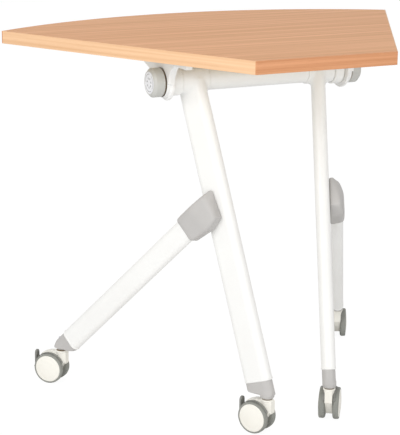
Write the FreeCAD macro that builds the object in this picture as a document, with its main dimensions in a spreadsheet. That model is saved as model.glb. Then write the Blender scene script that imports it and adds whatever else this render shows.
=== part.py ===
"""Folding desk: a flip-top nesting table with a fan-shaped top on two branched legs.

World frame in millimetres: X along the beam, +Y toward the curved side, Z up, floor at 0.
"""
import math
import os

import FreeCAD
import Part
import Sketcher

DOC = FreeCAD.newDocument("FoldingDesk")

# Driving dimensions, in millimetres and degrees
DIMENSIONS = [
    ("top_height", 725),
    ("top_thickness", 24),
    ("long_chord", 862),
    ("short_chord", 285),
    ("top_depth", 500),
    ("arc_rise", 115.5),
    ("band_thickness", 2),
    ("fold_angle", 75),
    ("beam_setback", 274),
    ("beam_drop", 53.5),
    ("beam_dia", 42),
    ("beam_wall", 2),
    ("collar_dia", 48),
    ("collar_length", 77),
    ("collar_end", 183),
    ("collar_flange_dia", 54),
    ("collar_flange", 19.5),
    ("plug_length", 40),
    ("spindle_dia", 36),
    ("spindle_length", 13.5),
    ("bracket_gap", 2),
    ("bracket_width", 13.5),
    ("bracket_boss_dia", 70),
    ("hub_dia", 58),
    ("rim_width", 5),
    ("flare_run", 25),
    ("flare_plate", 14.5),
    ("bracket_reach", 110),
    ("bracket_plate", 5),
    ("arm_reach", 147),
    ("arm_root", 0.5),
    ("bush_wall", 3),
    ("bush_length", 3.5),
    ("bush_flange_dia", 54),
    ("bush_flange", 1.5),
    ("ring_dia", 54),
    ("ring_length", 9),
    ("ring_clearance", 0.4),
    ("notch_radius", 24),
    ("screw_dia", 4),
    ("screw_grip", 14),
    ("screw_head_dia", 8),
    ("screw_head", 2.5),
    ("screw_seat", 4),
    ("screw_inset", 12),
    ("screw_spacing", 20),
    ("shaft_dia", 8),
    ("shaft_end", 217),
    ("crank_radius", 8.5),
    ("crank_dia", 25),
    ("crank_thickness", 2.5),
    ("crank_pin_dia", 3),
    ("crank_swing", 35),
    ("bolt_thickness", 6.4),
    ("bolt_nose_width", 12),
    ("bolt_nose_height", 17.4),
    ("bolt_width", 24),
    ("bolt_tail", 12),
    ("bolt_shoulder", 7),
    ("knob_dia", 55),
    ("knob_length", 22),
    ("knob_gap", 2),
    ("knob_bevel", 5),
    ("knob_wall", 3),
    ("knob_hub_dia", 16),
    ("knob_face_dia", 41),
    ("knob_face", 1.2),
    ("spring_dia", 15),
    ("spring_bore", 10),
    ("spring_length", 30),
    ("leg_plane_x", 137),
    ("leg_angle", 29),
    ("splay_angle", 3.65),
    ("main_width", 58),
    ("main_thickness", 28),
    ("main_reach", 189.5),
    ("main_end_height", 99.5),
    ("branch_width", 46),
    ("branch_thickness", 24),
    ("branch_reach", 246),
    ("branch_end_height", 95),
    ("joint_height", 422),
    ("tube_wall", 2),
    ("cover_length", 76),
    ("cover_over", 18),
    ("cover_thickness", 29),
    ("cover_skin", 4),
    ("cover_flare", 7),
    ("cover_edge", 4),
    ("cover_slope", 50),
    ("cover_lip", 4),
    ("main_cap_bottom", 78),
    ("branch_cap_bottom", 75),
    ("cap_spigot", 16),
    ("cap_overlap", 6),
    ("cap_inset", 1),
    ("cap_reach", 54),
    ("main_boss_dia", 27),
    ("branch_boss_dia", 21),
    ("boss_bottom", 71),
    ("boss_taper", 3),
    ("boss_bevel", 3),
    ("main_swivel_ahead", 20.5),
    ("branch_swivel_ahead", 26),
    ("wheel_dia", 62),
    ("wheel_width", 12),
    ("wheel_gap", 15),
    ("wheel_edge", 3),
    ("wheel_dome", 2.5),
    ("wheel_face_dia", 54.5),
    ("trail", 22),
    ("axle_dia", 6),
    ("axle_length", 36),
    ("stem_dia", 10),
    ("stem_bottom", 46),
    ("stem_grip", 26),
    ("hood_radius", 34),
    ("hood_floor", 12),
    ("hood_front", 13),
    ("hood_front_floor", 50),
    ("hood_heel", 12),
    ("hood_top_gap", 1.5),
    ("neck_height", 3),
    ("neck_dia", 24),
    ("hood_back", 21),
    ("pedal_pivot_back", 28),
    ("pedal_pivot_rise", 8),
    ("pedal_width", 13),
    ("pedal_thickness", 4),
    ("pedal_height", 23.5),
    ("pedal_drop", 15),
    ("pedal_toe", 4),
    ("pedal_hub_dia", 8),
    ("pedal_pin_dia", 3),
    ("tongue_width", 4),
    ("slide_clearance", 0.3),
    ("running_clearance", 0.05),
    ("caster_turn_front_left", 30),
    ("caster_turn_back_left", 42),
    ("caster_turn_front_right", -36),
    ("caster_turn_back_right", -29),
]

SHEET = DOC.addObject("Spreadsheet::Sheet", "Dim")
for row, (alias, number) in enumerate(DIMENSIONS, start=1):
    SHEET.set(f"A{row}", alias)
    SHEET.set(f"B{row}", str(number))
    SHEET.setAlias(f"B{row}", alias)
DOC.recompute()


class Size:
    """A number together with the sheet formula that it comes from."""

    def __init__(self, value, text):
        self.value = float(value)
        self.text = text

    def __add__(self, other):
        other = as_size(other)
        return Size(self.value + other.value, f"({self.text} + {other.text})")

    def __sub__(self, other):
        other = as_size(other)
        return Size(self.value - other.value, f"({self.text} - {other.text})")

    def __mul__(self, other):
        other = as_size(other)
        return Size(self.value * other.value, f"({self.text} * {other.text})")

    def __truediv__(self, other):
        other = as_size(other)
        return Size(self.value / other.value, f"({self.text} / {other.text})")

    def __neg__(self):
        return Size(-self.value, f"(0 - {self.text})")

    def __radd__(self, other):
        return as_size(other) + self

    def __rsub__(self, other):
        return as_size(other) - self

    def __rmul__(self, other):
        return as_size(other) * self


def as_size(number):
    """A plain number as a Size, so that both mix in one formula."""
    if isinstance(number, Size):
        return number
    return Size(number, f"({number})")


def sine(angle):
    """Sine of an angle in degrees."""
    return Size(math.sin(math.radians(angle.value)), f"sin({angle.text})")


def cosine(angle):
    """Cosine of an angle in degrees."""
    return Size(math.cos(math.radians(angle.value)), f"cos({angle.text})")


class Sizes:
    """The sheet's cells, each as a Size with the alias as its name."""

    def __init__(self, names):
        for name in names:
            setattr(self, name, Size(SHEET.get(name), f"Dim.{name}"))


d = Sizes([alias for alias, number in DIMENSIONS])

NODES = []


def node(obj, label):
    """Name an object as one sub-part of the desk."""
    obj.Label = label
    NODES.append(obj)
    return obj


def bind(obj, **formulas):
    """Bind properties of an object to formulas of the sheet."""
    for name, formula in formulas.items():
        obj.setExpression(name, as_size(formula).text)
    return obj


def put(obj, x=0, y=0, z=0):
    """Bind an object's place to formulas of the sheet."""
    for letter, formula in (("x", x), ("y", y), ("z", z)):
        obj.setExpression(f"Placement.Base.{letter}", as_size(formula).text)
    return obj


def box(x0, x1, y0, y1, z0, z1):
    """A box between two corners."""
    obj = DOC.addObject("Part::Box", "Box")
    bind(obj, Length=x1 - as_size(x0), Width=y1 - as_size(y0), Height=z1 - as_size(z0))
    return put(obj, x0, y0, z0)


def cylinder_z(radius, x, y, z0, z1):
    """A cylinder that stands on a point."""
    obj = DOC.addObject("Part::Cylinder", "Cylinder")
    bind(obj, Radius=radius, Height=z1 - as_size(z0))
    return put(obj, x, y, z0)


def cylinder_x(radius, x0, x1, y, z):
    """A cylinder along X."""
    obj = DOC.addObject("Part::Cylinder", "Cylinder")
    bind(obj, Radius=radius, Height=x1 - as_size(x0))
    obj.Placement = FreeCAD.Placement(FreeCAD.Vector(), FreeCAD.Rotation(FreeCAD.Vector(0, 1, 0), 90))
    return put(obj, x0, y, z)


def fuse(*shapes):
    """Join solids into one."""
    obj = DOC.addObject("Part::MultiFuse", "Fuse")
    obj.Shapes = list(shapes)
    obj.Refine = True
    return obj


def cut(base, *tools):
    """Take tools away from a base, one after the other."""
    for tool in tools:
        obj = DOC.addObject("Part::Cut", "Cut")
        obj.Base = base
        obj.Tool = tool
        base = obj
    return base


def common(first, second):
    """Keep what two solids share."""
    obj = DOC.addObject("Part::MultiCommon", "Common")
    obj.Shapes = [first, second]
    return obj


def group(*shapes):
    """Separate solids kept in one sub-part."""
    obj = DOC.addObject("Part::Compound", "Group")
    obj.Links = list(shapes)
    return obj


def mirrored(source):
    """The left-hand copy of a right-hand piece."""
    obj = DOC.addObject("Part::Mirroring", "Mirror")
    obj.Source = source
    obj.Base = FreeCAD.Vector(0, 0, 0)
    obj.Normal = FreeCAD.Vector(1, 0, 0)
    return obj


def pair(obj, label):
    """A right-hand piece and its left-hand mirror as two sub-parts."""
    node(obj, f"{label}_right")
    node(mirrored(obj), f"{label}_left")


def origin_plane(body, role):
    """One of a body's own origin planes, found by its role."""
    for feature in body.Origin.OriginFeatures:
        if feature.Role == role:
            return feature
    raise ValueError(role)


def new_sketch(body, role):
    """A sketch on one of a body's origin planes."""
    sketch = body.newObject("Sketcher::SketchObject", f"{body.Name}Sketch")
    sketch.AttachmentSupport = [(origin_plane(body, role), "")]
    sketch.MapMode = "FlatFace"
    return sketch


def fix_point(sketch, geometry, position, x, y):
    """Bind a sketch point's two coordinates to formulas of the sheet."""
    for kind, formula in (("DistanceX", as_size(x)), ("DistanceY", as_size(y))):
        index = sketch.addConstraint(Sketcher.Constraint(kind, geometry, position, formula.value))
        sketch.setExpression(f"Constraints[{index}]", formula.text)


def polygon_sketch(body, role, points):
    """A closed outline of straight lines through points of the sheet."""
    sketch = new_sketch(body, role)
    count = len(points)
    corners = [FreeCAD.Vector(as_size(x).value, as_size(y).value, 0) for x, y in points]
    for i in range(count):
        sketch.addGeometry(Part.LineSegment(corners[i], corners[(i + 1) % count]), False)
    for i in range(count):
        sketch.addConstraint(Sketcher.Constraint("Coincident", i, 2, (i + 1) % count, 1))
        fix_point(sketch, i, 1, *points[i])
    return sketch


def new_body(name):
    """An empty PartDesign body."""
    return DOC.addObject("PartDesign::Body", name)


def pad(body, sketch, length, midplane=False):
    """Extrude a sketch."""
    feature = body.newObject("PartDesign::Pad", f"{body.Name}Pad")
    feature.Profile = sketch
    feature.SideType = "Symmetric" if midplane else "One side"
    bind(feature, Length=length)
    return feature


def revolve_x(name, points):
    """A turned solid: an outline of (x, radius) points spun about X."""
    body = new_body(name)
    sketch = polygon_sketch(body, "XY_Plane", points)
    turn = body.newObject("PartDesign::Revolution", f"{name}Turn")
    turn.Profile = sketch
    turn.ReferenceAxis = (sketch, ["H_Axis"])
    turn.Angle = 360
    return body


def flat_oval(name, width, thickness, length, place):
    """A prism with flat sides and half-round edges, along its own Z."""
    body = new_body(name)
    sketch = new_sketch(body, "XY_Plane")
    half = (width - thickness) / 2
    radius = thickness / 2
    for side, first, last in ((1, -90, 90), (-1, 90, 270)):
        circle = Part.Circle(FreeCAD.Vector(side * half.value, 0, 0), FreeCAD.Vector(0, 0, 1), radius.value)
        sketch.addGeometry(Part.ArcOfCircle(circle, math.radians(first), math.radians(last)), False)
    for side in (1, -1):
        start = FreeCAD.Vector(side * half.value, side * radius.value, 0)
        end = FreeCAD.Vector(-side * half.value, side * radius.value, 0)
        sketch.addGeometry(Part.LineSegment(start, end), False)
    for arc, arc_end, line, line_end in ((0, 2, 2, 1), (1, 1, 2, 2), (1, 2, 3, 1), (0, 1, 3, 2)):
        sketch.addConstraint(Sketcher.Constraint("Tangent", arc, arc_end, line, line_end))
    fix_point(sketch, 0, 3, half, 0)
    fix_point(sketch, 1, 3, -half, 0)
    index = sketch.addConstraint(Sketcher.Constraint("Radius", 0, radius.value))
    sketch.setExpression(f"Constraints[{index}]", radius.text)
    pad(body, sketch, length)
    body.Placement = place
    return body


def length_between(first, second):
    """The hypotenuse of two lengths."""
    value = math.hypot(first.value, second.value)
    return Size(value, f"sqrt({first.text} ^ 2 + {second.text} ^ 2)")


# Heights and places that follow from the driving dimensions
underside = d.top_height - d.top_thickness
beam_z = underside - d.beam_drop
short_edge_y = -(d.top_depth + d.arc_rise) / 2
chord_y = short_edge_y + d.top_depth
arc_top_y = chord_y + d.arc_rise
beam_y = short_edge_y + d.beam_setback
bracket_in = d.collar_end + d.bracket_gap
rim_out = bracket_in + d.rim_width
bracket_out = bracket_in + d.bracket_width
bracket_mid = (bracket_in + bracket_out) / 2
ring_in = bracket_in + d.bush_length
spindle_end = d.collar_end + d.spindle_length
bolt_out = spindle_end - d.slide_clearance
bolt_in = bolt_out - d.bolt_thickness
crank_in = spindle_end + d.ring_clearance
knob_in = bracket_out + d.knob_gap
knob_out = knob_in + d.knob_length


def beam_cylinder(radius, x0, x1):
    """A cylinder on the beam's axis."""
    return cylinder_x(radius, x0, x1, beam_y, beam_z)


def beam_box(x0, x1, y0, y1, z0, z1):
    """A box whose Y and Z are measured from the beam's axis."""
    return box(x0, x1, beam_y + y0, beam_y + y1, beam_z + z0, beam_z + z1)


def fan_slab():
    """The whole top as one slab: two slanted sides, a short side and an arc."""
    body = new_body("FanSlab")
    sketch = new_sketch(body, "XY_Plane")
    half_long = d.long_chord / 2
    half_short = d.short_chord / 2
    corners = [
        (-half_long, chord_y),
        (-half_short, short_edge_y),
        (half_short, short_edge_y),
        (half_long, chord_y),
    ]
    vectors = [FreeCAD.Vector(x.value, y.value, 0) for x, y in corners]
    for start, end in zip(vectors, vectors[1:]):
        sketch.addGeometry(Part.LineSegment(start, end), False)
    crown = FreeCAD.Vector(0, arc_top_y.value, 0)
    sketch.addGeometry(Part.Arc(vectors[3], crown, vectors[0]), False)
    for first, last in ((0, 1), (1, 2)):
        sketch.addConstraint(Sketcher.Constraint("Coincident", first, 2, last, 1))
    sketch.addConstraint(Sketcher.Constraint("Coincident", 2, 2, 3, 1))
    sketch.addConstraint(Sketcher.Constraint("Coincident", 3, 2, 0, 1))
    for line, position, corner in ((0, 1, 0), (1, 1, 1), (1, 2, 2), (2, 2, 3)):
        fix_point(sketch, line, position, *corners[corner])
    index = sketch.addConstraint(Sketcher.Constraint("Radius", 3, arc_radius.value))
    sketch.setExpression(f"Constraints[{index}]", arc_radius.text)
    pad(body, sketch, d.top_thickness)
    return put(body, 0, 0, underside)


arc_radius = (d.long_chord * d.long_chord / 4 + d.arc_rise * d.arc_rise) / (2 * d.arc_rise)
side_slope = (d.long_chord - d.short_chord) / 2 / d.top_depth
side_angle = math.degrees(math.atan(side_slope.value))


def side_strip(side):
    """A box along one slanted side, as thick as the edge band, longer than the side."""
    obj = DOC.addObject("Part::Box", "SideStrip")
    overrun = d.arc_rise
    bind(obj, Length=d.band_thickness * 2, Width=d.top_depth + 3 * overrun, Height=d.top_thickness)
    turn = FreeCAD.Rotation(FreeCAD.Vector(0, 0, 1), -side * side_angle)
    corner = FreeCAD.Vector(side * d.short_chord.value / 2, short_edge_y.value, underside.value)
    shift = turn.multVec(FreeCAD.Vector(-d.band_thickness.value, -overrun.value, 0))
    obj.Placement = FreeCAD.Placement(corner + shift, turn)
    return obj


def screw_places():
    """The right-hand bracket's screw places, two in line at each end of its plate."""
    for along, reach in ((-1, d.bracket_reach), (1, d.arm_reach)):
        outer = reach - d.screw_inset
        for distance in (outer, outer - d.screw_spacing):
            yield bracket_mid, beam_y + along * distance


def make_top():
    """Panel, its four edge bands and the pilot holes of the bracket screws."""
    slab = fan_slab()
    inner_radius = arc_radius - d.band_thickness
    arc_tool = cylinder_z(inner_radius, 0, arc_top_y - arc_radius, underside, d.top_height)
    short_tool = box(
        -d.short_chord, d.short_chord, short_edge_y - d.band_thickness, short_edge_y + d.band_thickness,
        underside, d.top_height,
    )
    strips = {"left": side_strip(-1), "right": side_strip(1)}
    node(cut(slab, arc_tool), "edge_band_arc")
    inside = common(slab, arc_tool)
    node(common(inside, short_tool), "edge_band_short")
    behind = cut(inside, short_tool)
    for side, strip in strips.items():
        node(common(behind, strip), f"edge_band_{side}")
    pilots = []
    for side in (1, -1):
        for x, y in screw_places():
            pilots.append(cylinder_z(d.screw_dia / 2, side * x, y, underside, underside + d.screw_grip))
    node(cut(behind, strips["left"], strips["right"], fuse(*pilots)), "tabletop_panel")


def make_brackets():
    """Cast brackets: a boss with an outer hub, a flare to the front and a tapered arm to the back."""
    boss_radius = d.bracket_boss_dia / 2
    flare_rise = d.beam_drop - d.flare_plate
    flare_radius = (d.flare_run * d.flare_run + flare_rise * flare_rise) / (2 * d.flare_run)
    flare_end = -boss_radius - d.flare_run
    blank = beam_box(bracket_in, bracket_out, flare_end, 0, 0, d.beam_drop)
    flare_y = beam_y - boss_radius - flare_radius
    flare = cut(blank, cylinder_x(flare_radius, bracket_in, bracket_out, flare_y, beam_z))
    plate = beam_box(bracket_in, bracket_out, -d.bracket_reach, flare_end, flare_rise, d.beam_drop)
    arm = new_body("RearArm")
    arm_outline = [
        (0, d.beam_drop),
        (0, -d.arm_root),
        (d.arm_reach, d.beam_drop - d.bracket_plate),
        (d.arm_reach, d.beam_drop),
    ]
    pad(arm, polygon_sketch(arm, "YZ_Plane", arm_outline), d.bracket_width)
    put(arm, bracket_in, beam_y, beam_z)
    boss = beam_cylinder(boss_radius, bracket_in, rim_out)
    hub = beam_cylinder(d.hub_dia / 2, rim_out, bracket_out)
    body = fuse(flare, plate, arm, boss, hub)
    bush_bore = beam_cylinder(d.spindle_dia / 2 + d.running_clearance + d.bush_wall, bracket_in, ring_in)
    ring_bore = beam_cylinder(d.ring_dia / 2, ring_in, bracket_out)
    seat = underside - d.screw_seat
    sinks = []
    for x, y in screw_places():
        sinks.append(cylinder_z(d.screw_head_dia / 2, x, y, beam_z, seat))
        sinks.append(cylinder_z(d.screw_dia / 2, x, y, seat, underside))
    pair(cut(body, bush_bore, ring_bore, fuse(*sinks)), "bracket")
    screws = []
    for side in (1, -1):
        for x, y in screw_places():
            head = cylinder_z(d.screw_head_dia / 2, side * x, y, seat - d.screw_head, seat)
            shank = cylinder_z(d.screw_dia / 2, side * x, y, seat, underside + d.screw_grip)
            screws.append(fuse(head, shank))
    node(group(*screws), "bracket_screws")


def make_bushes():
    """Flanged bushes in the brackets, which turn on the beam's spindles."""
    bore = d.spindle_dia / 2 + d.running_clearance
    flange_in = bracket_in - d.bush_flange
    sleeve = beam_cylinder(bore + d.bush_wall, flange_in, ring_in)
    flange = beam_cylinder(d.bush_flange_dia / 2, flange_in, bracket_in)
    hole = beam_cylinder(bore, flange_in, ring_in)
    pair(cut(fuse(sleeve, flange), hole), "pivot_bush")


def make_lock_rings():
    """Rings in the brackets, with a notch for the open and one for the folded top."""
    ring_out = ring_in + d.ring_length
    blank = beam_cylinder(d.ring_dia / 2, ring_in, ring_out)
    hole = beam_cylinder(d.spindle_dia / 2 + d.ring_clearance, ring_in, ring_out)
    half = d.bolt_nose_width / 2 + d.slide_clearance
    open_notch = beam_box(ring_in, ring_out, -half, half, 0, d.notch_radius)
    folded_notch = box(0, d.ring_length, -half, half, 0, d.notch_radius)
    turn = FreeCAD.Rotation(FreeCAD.Vector(1, 0, 0), -d.fold_angle.value)
    corner = turn.multVec(FreeCAD.Vector(0, -half.value, 0))
    folded_notch.Placement = FreeCAD.Placement(FreeCAD.Vector(), turn)
    put(folded_notch, ring_in, beam_y + corner.y, beam_z + corner.z)
    pair(cut(blank, hole, open_notch, folded_notch), "lock_ring")


def make_beam():
    """Beam tube, the collars of the legs and the plugs with the pivot spindles."""
    outside = beam_cylinder(d.beam_dia / 2, -d.collar_end, d.collar_end)
    inside = beam_cylinder(d.beam_dia / 2 - d.beam_wall, -d.collar_end, d.collar_end)
    node(cut(outside, inside), "beam_tube")
    collar_in = d.collar_end - d.collar_length
    sleeve = beam_cylinder(d.collar_dia / 2, collar_in, d.collar_end)
    flange = beam_cylinder(d.collar_flange_dia / 2, d.collar_end - d.collar_flange, d.collar_end)
    sleeve_bore = beam_cylinder(d.beam_dia / 2, collar_in, d.collar_end)
    pair(cut(fuse(sleeve, flange), sleeve_bore), "leg_collar")
    body = beam_cylinder(d.beam_dia / 2 - d.beam_wall, d.collar_end - d.plug_length, d.collar_end)
    spindle = beam_cylinder(d.spindle_dia / 2, d.collar_end, spindle_end)
    bore = beam_cylinder(d.shaft_dia / 2 + d.running_clearance, d.collar_end - d.plug_length, spindle_end)
    half = d.bolt_width / 2 + d.slide_clearance
    deep = d.spindle_dia / 2
    slot = beam_box(bolt_in - d.slide_clearance, spindle_end, -half, half, -deep, deep)
    pair(cut(fuse(body, spindle), bore, slot), "beam_plug")
    spring_out = d.collar_end - d.plug_length
    spring_in = spring_out - d.spring_length
    coil = beam_cylinder(d.spring_dia / 2, spring_in, spring_out)
    node(cut(coil, beam_cylinder(d.spring_bore / 2, spring_in, spring_out)), "return_spring")


def make_release():
    """Release shaft through the beam, with a crank and a knob at each end."""
    node(beam_cylinder(d.shaft_dia / 2, -d.shaft_end, d.shaft_end), "release_shaft")
    pin_y = d.crank_radius * cosine(d.crank_swing / 2)
    pin_z = -d.crank_radius * sine(d.crank_swing / 2)
    disc = beam_cylinder(d.crank_dia / 2, crank_in, crank_in + d.crank_thickness)
    pin = cylinder_x(d.crank_pin_dia / 2, bolt_in, crank_in, beam_y + pin_y, beam_z + pin_z)
    hole = beam_cylinder(d.shaft_dia / 2, crank_in, crank_in + d.crank_thickness)
    pair(cut(fuse(disc, pin), hole), "crank")
    face_in = knob_out - d.knob_face
    outline = [
        (knob_in, d.shaft_dia / 2),
        (knob_in, d.knob_hub_dia / 2),
        (d.shaft_end, d.knob_hub_dia / 2),
        (d.shaft_end, d.knob_dia / 2 - d.knob_wall),
        (knob_in, d.knob_dia / 2 - d.knob_wall),
        (knob_in, d.knob_dia / 2),
        (knob_out - d.knob_bevel, d.knob_dia / 2),
        (knob_out, d.knob_dia / 2 - d.knob_bevel),
        (knob_out, d.knob_face_dia / 2),
        (face_in, d.knob_face_dia / 2),
        (face_in, 0),
        (d.shaft_end, 0),
        (d.shaft_end, d.shaft_dia / 2),
    ]
    knob = put(revolve_x("Knob", outline), 0, beam_y, beam_z)
    pair(knob, "knob")
    pair(beam_cylinder(d.knob_face_dia / 2, face_in, knob_out), "knob_face")


def make_bolts():
    """Lock bolts: a yoke round the shaft, lifted by the crank pin, with a nose on top."""
    pin_y = d.crank_radius * cosine(d.crank_swing / 2)
    pin_z = -d.crank_radius * sine(d.crank_swing / 2)
    lift = -2 * pin_z
    half_nose = d.bolt_nose_width / 2
    half = d.bolt_width / 2
    nose = beam_box(bolt_in, bolt_out, -half_nose, half_nose, 0, d.bolt_nose_height)
    yoke = beam_box(bolt_in, bolt_out, -half, half, -d.bolt_tail, d.bolt_shoulder)
    shaft_room = d.shaft_dia / 2 + 2 * d.slide_clearance
    window = beam_box(bolt_in, bolt_out, -shaft_room, shaft_room, -shaft_room - lift, shaft_room)
    pin_room = d.crank_pin_dia / 2 + d.slide_clearance
    slot_end = beam_y + d.crank_radius + pin_room
    slot = box(
        bolt_in, bolt_out, beam_y + pin_y - pin_room, slot_end,
        beam_z + pin_z - pin_room, beam_z + pin_z + pin_room,
    )
    pair(cut(fuse(nose, yoke), window, slot), "lock_bolt")


branch_outboard = (d.main_thickness + d.cover_thickness) / 2
main_swivel_u = -(d.main_reach + d.main_swivel_ahead)
branch_swivel_u = d.branch_reach + d.branch_swivel_ahead


def leg_heading():
    """The right-hand leg's heading, with X out along it and Y inboard."""
    return FreeCAD.Rotation(FreeCAD.Vector(0, 0, 1), 90 - d.leg_angle.value)


def leg_place(u, outboard, height, tilt):
    """A place on the splayed right-hand leg: along it, outboard of it, at a height, tilted in its plane."""
    splay = math.radians(d.splay_angle.value)
    drop = (beam_z.value - height + outboard * math.sin(splay)) / math.cos(splay)
    lean = FreeCAD.Rotation(FreeCAD.Vector(1, 0, 0), -d.splay_angle.value)
    root = FreeCAD.Vector(d.leg_plane_x.value, beam_y.value, beam_z.value)
    plane = FreeCAD.Placement(root, leg_heading().multiply(lean))
    turn = FreeCAD.Rotation(FreeCAD.Vector(0, 1, 0), tilt)
    return plane.multiply(FreeCAD.Placement(FreeCAD.Vector(u, -outboard, -drop), turn))


def swivel_point(u, outboard):
    """X and Y of a caster's swivel on the right-hand side, where its boss ends."""
    out = (outboard + (beam_z - d.boss_bottom) * sine(d.splay_angle)) / cosine(d.splay_angle)
    x = d.leg_plane_x + u * sine(d.leg_angle) + out * cosine(d.leg_angle)
    y = beam_y + u * cosine(d.leg_angle) - out * sine(d.leg_angle)
    return x, y


SWIVELS = {
    "front": swivel_point(main_swivel_u, as_size(0)),
    "back": swivel_point(branch_swivel_u, branch_outboard),
}


def make_legs():
    """Main tubes, and branch tubes that stand outboard of them in covers on their outer faces."""
    main_rise = beam_z - d.main_end_height
    slope_rise = main_rise / cosine(d.splay_angle)
    main_length = length_between(d.main_reach, slope_rise)
    main_tilt = math.degrees(math.atan2(d.main_reach.value, slope_rise.value))
    main_place = leg_place(-d.main_reach.value, 0, d.main_end_height.value, main_tilt)
    main_outer = flat_oval("MainOuter", d.main_width, d.main_thickness, main_length, main_place)
    bore_width = d.main_width - 2 * d.tube_wall
    bore_thickness = d.main_thickness - 2 * d.tube_wall
    main_bore = flat_oval("MainBore", bore_width, bore_thickness, main_length, main_place)
    collar = beam_cylinder(d.collar_dia / 2, 0, 2 * d.collar_end)
    flange = beam_cylinder(d.collar_flange_dia / 2, d.collar_end - d.collar_flange, 2 * d.collar_end)
    pair(cut(main_outer, main_bore, collar, flange), "main_leg")

    joint_u = -d.main_reach * (beam_z - d.joint_height) / main_rise
    branch_run = d.branch_reach - joint_u
    branch_fall = (d.joint_height - d.branch_end_height) / cosine(d.splay_angle)
    branch_length = length_between(branch_run, branch_fall)
    branch_tilt = -math.degrees(math.atan2(branch_run.value, branch_fall.value))
    branch_place = leg_place(
        d.branch_reach.value, branch_outboard.value, d.branch_end_height.value, branch_tilt,
    )
    tube_length = branch_length + d.cover_over - d.cover_slope
    branch_outer = flat_oval("BranchOuter", d.branch_width, d.branch_thickness, tube_length, branch_place)
    inner_width = d.branch_width - 2 * d.tube_wall
    inner_thickness = d.branch_thickness - 2 * d.tube_wall
    branch_bore = flat_oval("BranchBore", inner_width, inner_thickness, tube_length, branch_place)
    pair(cut(branch_outer, branch_bore), "branch_leg")

    make_cover(branch_length, branch_place, branch_outer)
    main_tube = (main_place, d.main_width, d.main_thickness)
    make_caps("main", main_tube, "front", -1, d.main_cap_bottom, d.main_boss_dia)
    branch_tube = (branch_place, d.branch_width, d.branch_thickness)
    make_caps("branch", branch_tube, "back", 1, d.branch_cap_bottom, d.branch_boss_dia)


# Where the cover's lower edge is widest, and how full its sloped top is, as shares
COVER_HEEL = 0.38
COVER_FULLNESS = 0.7


def make_cover(joint, branch_place, branch_outer):
    """Plastic cover round the root of the branch, on the main leg's outer face, sloped at its top."""
    body = new_body("Cover")
    half = d.branch_width / 2 + d.cover_skin
    end = joint - d.cover_length
    outline = [
        (half, end),
        (half, joint + d.cover_over),
        (-half, joint),
        (-half - d.cover_flare, joint - d.cover_length * COVER_HEEL),
        (-half, end),
    ]
    sketch = polygon_sketch(body, "XZ_Plane", outline)
    block = pad(body, sketch, d.cover_thickness, midplane=True)
    DOC.recompute()
    rounding = body.newObject("PartDesign::Fillet", "CoverEdges")
    rounding.Base = (block, [f"Edge{i + 1}" for i in range(len(block.Shape.Edges))])
    bind(rounding, Radius=d.cover_edge)
    body.Placement = branch_place
    depth = d.cover_thickness / 2
    top = joint + d.cover_over
    side = new_body("CoverSide")
    side_outline = [
        (depth, end),
        (depth, top),
        (depth - d.cover_lip, top),
        (depth - d.cover_lip - (d.cover_thickness - d.cover_lip) * COVER_FULLNESS,
         top - d.cover_slope * (1 - COVER_FULLNESS)),
        (-depth, top - d.cover_slope),
        (-depth, end),
    ]
    pad(side, polygon_sketch(side, "YZ_Plane", side_outline), 4 * half, midplane=True)
    side.Placement = branch_place
    pair(cut(common(body, side), branch_outer), "joint_cover")


def make_caps(name, tube, end, outward, bottom, boss_dia):
    """End caps: a foot on the tube's end and an upright boss that takes the caster's stem."""
    place, width, thickness = tube
    reach = d.cap_reach
    down = FreeCAD.Placement(FreeCAD.Vector(0, 0, -reach.value), FreeCAD.Rotation())
    prism = flat_oval(
        f"{name}Foot", width - 2 * d.cap_inset, thickness - 2 * d.cap_inset, reach, place.multiply(down),
    )
    spigot = flat_oval(
        f"{name}Spigot", width - 2 * d.tube_wall, thickness - 2 * d.tube_wall, d.cap_spigot, place,
    )
    x, y = SWIVELS[end]
    radius = boss_dia / 2
    limit = DOC.addObject("Part::Box", "FootLimit")
    bind(limit, Length=2 * reach, Width=reach, Height=d.main_end_height)
    swivel = FreeCAD.Placement(FreeCAD.Vector(x.value, y.value, bottom.value), leg_heading())
    inner = -radius.value if outward < 0 else radius.value - 2 * reach.value
    corner = FreeCAD.Placement(FreeCAD.Vector(inner, -reach.value / 2, 0), FreeCAD.Rotation())
    limit.Placement = swivel.multiply(corner)
    foot = common(prism, limit)
    boss = cylinder_z(radius, x, y, d.boss_bottom + d.boss_taper, bottom + d.cap_overlap)
    tip = DOC.addObject("Part::Cone", "BossTip")
    bind(tip, Radius1=radius - d.boss_bevel, Radius2=radius, Height=d.boss_taper)
    put(tip, x, y, d.boss_bottom)
    hole = cylinder_z(d.stem_dia / 2, x, y, d.boss_bottom, d.boss_bottom + d.stem_grip)
    pair(cut(fuse(foot, spigot, boss, tip), hole), f"{name}_end_cap")


def make_stems():
    """Caster stems, fixed in the end caps."""
    stems = []
    top = d.boss_bottom + d.stem_grip
    for x, y in SWIVELS.values():
        for side in (1, -1):
            stems.append(cylinder_z(d.stem_dia / 2, side * x, y, d.stem_bottom, top))
    node(group(*stems), "caster_stems")


def make_caster(label, x, y, turn):
    """One braked twin-wheel caster, built with its swivel on Z and its trail along +Y."""
    place = FreeCAD.Placement(
        FreeCAD.Vector(x.value, y.value, 0), FreeCAD.Rotation(FreeCAD.Vector(0, 0, 1), turn.value),
    )
    axle_z = d.wheel_dia / 2
    pieces = {
        "hood": caster_hood(axle_z),
        "axle": cylinder_x(d.axle_dia / 2, -d.axle_length / 2, d.axle_length / 2, d.trail, axle_z),
        "wheel_a": caster_wheel(label, 1, axle_z),
        "wheel_b": caster_wheel(label, -1, axle_z),
        "pedal": caster_pedal(axle_z),
    }
    for piece, obj in pieces.items():
        holder = group(obj)
        holder.Placement = place
        node(holder, f"{piece}_{label}")


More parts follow.
